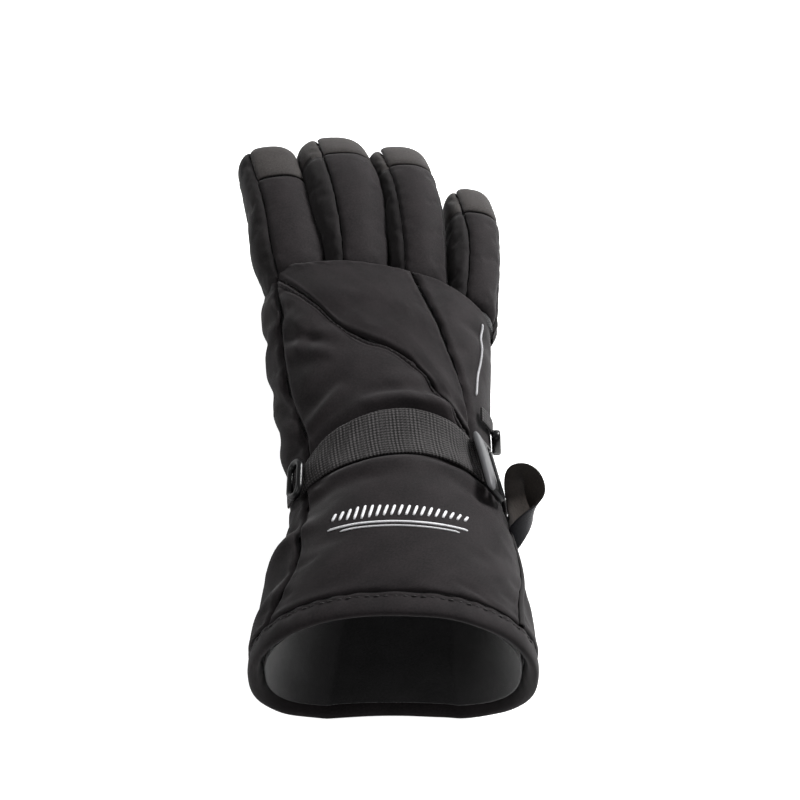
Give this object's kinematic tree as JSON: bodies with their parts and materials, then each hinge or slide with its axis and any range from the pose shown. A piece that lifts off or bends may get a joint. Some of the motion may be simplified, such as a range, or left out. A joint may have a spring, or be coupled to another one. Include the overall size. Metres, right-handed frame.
{
  "type": "insulated gauntlet glove",
  "caption": "Right-hand insulated gauntlet glove with padded jointed fingers, ladder-lock wrist strap, ring, hook clip, pull loop and open cuff.",
  "frame": {"origin": "on the flat underside of the gauntlet, below the middle of the cuff, in the plane the glove lies on", "axes": "+Y from the cuff to the fingertips, +Z out of the back of the hand, -X to the thumb side"},
  "size_m": [0.1561, 0.3014, 0.113],
  "materials": {
    "shell_fabric": "matt near-black softshell weave",
    "palm_fabric": "matt black grip fabric",
    "fingertip_fabric": "dark grey abrasion fabric",
    "insulation_wadding": "quilted polyester wadding",
    "lining_fleece": "brushed fleece",
    "webbing": "ribbed black webbing",
    "loop_tape": "smooth dark tape",
    "gloss_plastic": "glossy black injection-moulded acetal",
    "reflective_piping": "silver-grey reflective piping",
    "emblem_thread": "white satin-stitch thread"
  },
  "bodies": {
    "hand": {"body_insulation": "insulation_wadding", "body_lining": "lining_fleece", "buckle_tab": "webbing", "clip_strip": "webbing", "emblem": "emblem_thread", "gauntlet_back_panel": "shell_fabric", "gauntlet_binding": "shell_fabric", "gauntlet_little_side_panel": "shell_fabric", "gauntlet_palm_panel": "palm_fabric", "gauntlet_thumb_side_panel": "shell_fabric", "hem_band": "shell_fabric", "index_side_panel": "shell_fabric", "knuckle_panel": "shell_fabric", "little_side_panel": "shell_fabric", "palm_panel": "palm_fabric", "reflective_piping": "reflective_piping", "ring_tab": "webbing", "wrist_back_panel": "shell_fabric", "wrist_strap": "webbing"},
    "index_finger": {"index_back_panel": "shell_fabric", "index_tip_cap": "fingertip_fabric", "index_palm_panel": "palm_fabric", "index_insulation": "insulation_wadding", "index_lining": "lining_fleece"},
    "middle_finger": {"middle_back_panel": "shell_fabric", "middle_tip_cap": "fingertip_fabric", "middle_palm_panel": "palm_fabric", "middle_insulation": "insulation_wadding", "middle_lining": "lining_fleece"},
    "ring_finger": {"ring_back_panel": "shell_fabric", "ring_tip_cap": "fingertip_fabric", "ring_palm_panel": "palm_fabric", "ring_insulation": "insulation_wadding", "ring_lining": "lining_fleece"},
    "little_finger": {"little_back_panel": "shell_fabric", "little_tip_cap": "fingertip_fabric", "little_palm_panel": "palm_fabric", "little_insulation": "insulation_wadding", "little_lining": "lining_fleece"},
    "thumb": {"thumb_back_panel": "shell_fabric", "thumb_gusset": "shell_fabric", "thumb_insulation": "insulation_wadding", "thumb_lining": "lining_fleece", "thumb_palm_panel": "palm_fabric"},
    "buckle": {"ladder_lock_buckle": "gloss_plastic"},
    "ring_loop": {"strap_ring": "gloss_plastic"},
    "clip": {"hook_clip": "gloss_plastic"},
    "loop": {"pull_loop": "loop_tape"}
  },
  "joints": [
    {"name": "index_flex", "type": "hinge", "parent": "hand", "child": "index_finger", "pos_m": [-0.0464, 0.168, 0.056], "axis": [-1, 0, 0], "range_deg": [0, 55], "stiffness_Nm_per_rad": 0.25},
    {"name": "middle_flex", "type": "hinge", "parent": "hand", "child": "middle_finger", "pos_m": [-0.0162, 0.167, 0.059], "axis": [-1, 0, 0], "range_deg": [0, 55], "stiffness_Nm_per_rad": 0.25},
    {"name": "ring_flex", "type": "hinge", "parent": "hand", "child": "ring_finger", "pos_m": [0.0146, 0.1605, 0.058], "axis": [-1, 0, 0], "range_deg": [0, 55], "stiffness_Nm_per_rad": 0.25},
    {"name": "little_flex", "type": "hinge", "parent": "hand", "child": "little_finger", "pos_m": [0.0436, 0.149, 0.054], "axis": [-1, 0, 0], "range_deg": [0, 55], "stiffness_Nm_per_rad": 0.25},
    {"name": "thumb_swing", "type": "hinge", "parent": "hand", "child": "thumb", "pos_m": [-0.038, 0.086, 0.025], "axis": [0, 0, 1], "range_deg": [0, 50], "stiffness_Nm_per_rad": 0.25},
    {"name": "buckle_tilt", "type": "hinge", "parent": "hand", "child": "buckle", "pos_m": [0.05263, 0.0518, 0.07339], "axis": [-0.3355, 0.9211, 0.1974], "range_deg": [0, 20], "stiffness_Nm_per_rad": 0.02},
    {"name": "ring_tilt", "type": "hinge", "parent": "hand", "child": "ring_loop", "pos_m": [-0.04789, 0.04445, 0.07676], "axis": [0.0078, -1, -0.0052], "range_deg": [0, 60], "stiffness_Nm_per_rad": 0.02},
    {"name": "clip_swing", "type": "hinge", "parent": "hand", "child": "clip", "pos_m": [0.05153, 0.07784, 0.06537], "axis": [0.9974, -0.0367, 0.062], "range_deg": [-25, 25], "stiffness_Nm_per_rad": 0.02},
    {"name": "loop_swing", "type": "hinge", "parent": "hand", "child": "loop", "pos_m": [0.0595, 0.017, 0.0615], "axis": [0, 1, 0], "range_deg": [0, 60], "stiffness_Nm_per_rad": 0.02}
  ]
}
